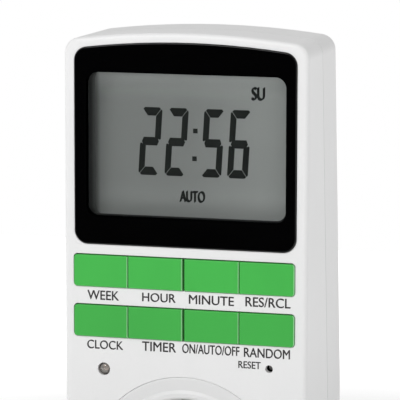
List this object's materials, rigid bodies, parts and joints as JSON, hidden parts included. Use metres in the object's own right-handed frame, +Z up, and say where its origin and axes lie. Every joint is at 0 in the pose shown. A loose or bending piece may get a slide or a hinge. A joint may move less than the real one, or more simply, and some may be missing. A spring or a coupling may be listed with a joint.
{
  "type": "plug-in timer socket",
  "caption": "Plug-in weekly timer with an arched case, a large display, push keys, an earthed round socket in front and a matching plug behind.",
  "frame": {"origin": "centre of the plug's end face, between the two pins", "axes": "+Y points out of the plug into the wall, +Z up along the case, +X to the right seen from the front"},
  "size_m": [0.0636, 0.075, 0.146],
  "materials": {
    "case_plastic": "fine satin, off-white",
    "socket_plastic": "fine satin, off-white",
    "window_clear": "clear, polished",
    "black_plastic": "satin black",
    "lcd_glass": "grey green, satin",
    "holder_plastic": "satin",
    "strip_rubber": "matte",
    "board_laminate": "satin green",
    "screw_steel": "plated",
    "nickel_plate": "nickel plated",
    "contact_brass": "bare",
    "coil_copper": "enamelled wire",
    "key_green": "satin green",
    "switch_plastic": "matte black",
    "nub_plastic": "satin",
    "led_clear": "clear",
    "shutter_plastic": "satin",
    "film_plastic": "gloss",
    "sleeve_plastic": "gloss",
    "resistor_coat": "lacquer",
    "varistor_coat": "lacquer",
    "fuse_glass": "clear",
    "relay_plastic": "satin",
    "wire_cover": "satin"
  },
  "bodies": {
    "case": {"front_shell": "case_plastic", "rear_shell": "case_plastic", "socket_cup": "socket_plastic", "socket_base": "socket_plastic", "display_window": "window_clear", "display_bezel": "black_plastic", "lcd_panel": "lcd_glass", "lcd_holder": "holder_plastic", "contact_strip": "strip_rubber", "control_board": "board_laminate", "power_board": "board_laminate", "case_screws": "screw_steel", "board_screws": "screw_steel", "carrier_screws": "screw_steel", "shutter_spring": "screw_steel", "clock_crystal": "screw_steel", "backup_battery": "screw_steel", "battery_tabs": "screw_steel", "live_pin": "nickel_plate", "neutral_pin": "nickel_plate", "earth_bracket": "nickel_plate", "live_contact": "contact_brass", "neutral_contact": "contact_brass", "relay_contact": "contact_brass", "relay_coil": "coil_copper", "switch_housings": "switch_plastic", "driver_chip": "switch_plastic", "diodes": "switch_plastic", "indicator_led": "led_clear", "contact_carrier": "shutter_plastic", "film_capacitor": "film_plastic", "smoothing_capacitor": "sleeve_plastic", "resistors": "resistor_coat", "surge_varistor": "varistor_coat", "fuse": "fuse_glass", "relay_base": "relay_plastic", "relay_cover": "relay_plastic", "power_wires": "wire_cover", "link_wires": "wire_cover"},
    "shutter": {"safety_shutter": "shutter_plastic"},
    "armature": {"relay_armature": "screw_steel"},
    "reset_button": {"reset_nub": "nub_plastic"},
    "week_button": {"week_key": "key_green", "week_nub": "nub_plastic"},
    "hour_button": {"hour_key": "key_green", "hour_nub": "nub_plastic"},
    "minute_button": {"minute_key": "key_green", "minute_nub": "nub_plastic"},
    "recall_button": {"recall_key": "key_green", "recall_nub": "nub_plastic"},
    "clock_button": {"clock_key": "key_green", "clock_nub": "nub_plastic"},
    "timer_button": {"timer_key": "key_green", "timer_nub": "nub_plastic"},
    "mode_button": {"mode_key": "key_green", "mode_nub": "nub_plastic"},
    "random_button": {"random_key": "key_green", "random_nub": "nub_plastic"}
  },
  "joints": [
    {"name": "week_press", "type": "slide", "parent": "case", "child": "week_button", "axis": [0, 1, 0], "range_m": [0, 0.0005], "stiffness_N_per_m": 1500, "springref_m": -0.0003},
    {"name": "hour_press", "type": "slide", "parent": "case", "child": "hour_button", "axis": [0, 1, 0], "range_m": [0, 0.0005], "stiffness_N_per_m": 1500, "springref_m": -0.0003},
    {"name": "minute_press", "type": "slide", "parent": "case", "child": "minute_button", "axis": [0, 1, 0], "range_m": [0, 0.0005], "stiffness_N_per_m": 1500, "springref_m": -0.0003},
    {"name": "recall_press", "type": "slide", "parent": "case", "child": "recall_button", "axis": [0, 1, 0], "range_m": [0, 0.0005], "stiffness_N_per_m": 1500, "springref_m": -0.0003},
    {"name": "clock_press", "type": "slide", "parent": "case", "child": "clock_button", "axis": [0, 1, 0], "range_m": [0, 0.0005], "stiffness_N_per_m": 1500, "springref_m": -0.0003},
    {"name": "timer_press", "type": "slide", "parent": "case", "child": "timer_button", "axis": [0, 1, 0], "range_m": [0, 0.0005], "stiffness_N_per_m": 1500, "springref_m": -0.0003},
    {"name": "mode_press", "type": "slide", "parent": "case", "child": "mode_button", "axis": [0, 1, 0], "range_m": [0, 0.0005], "stiffness_N_per_m": 1500, "springref_m": -0.0003},
    {"name": "random_press", "type": "slide", "parent": "case", "child": "random_button", "axis": [0, 1, 0], "range_m": [0, 0.0005], "stiffness_N_per_m": 1500, "springref_m": -0.0003},
    {"name": "reset_press", "type": "slide", "parent": "case", "child": "reset_button", "axis": [0, 1, 0], "range_m": [0, 0.0003], "stiffness_N_per_m": 1500, "springref_m": -0.0003},
    {"name": "shutter_slide", "type": "slide", "parent": "case", "child": "shutter", "axis": [1, 0, 0], "range_m": [0, 0.0062], "stiffness_N_per_m": 150, "springref_m": -0.002, "deforming": ["shutter_spring"]},
    {"name": "armature_tilt", "type": "hinge", "parent": "case", "child": "armature", "pos_m": [-0.011, -0.03945, 0.04775], "axis": [-1, 0, 0], "range_deg": [0, 2.5], "stiffness_Nm_per_rad": 0.02, "springref_deg": -0.57}
  ]
}
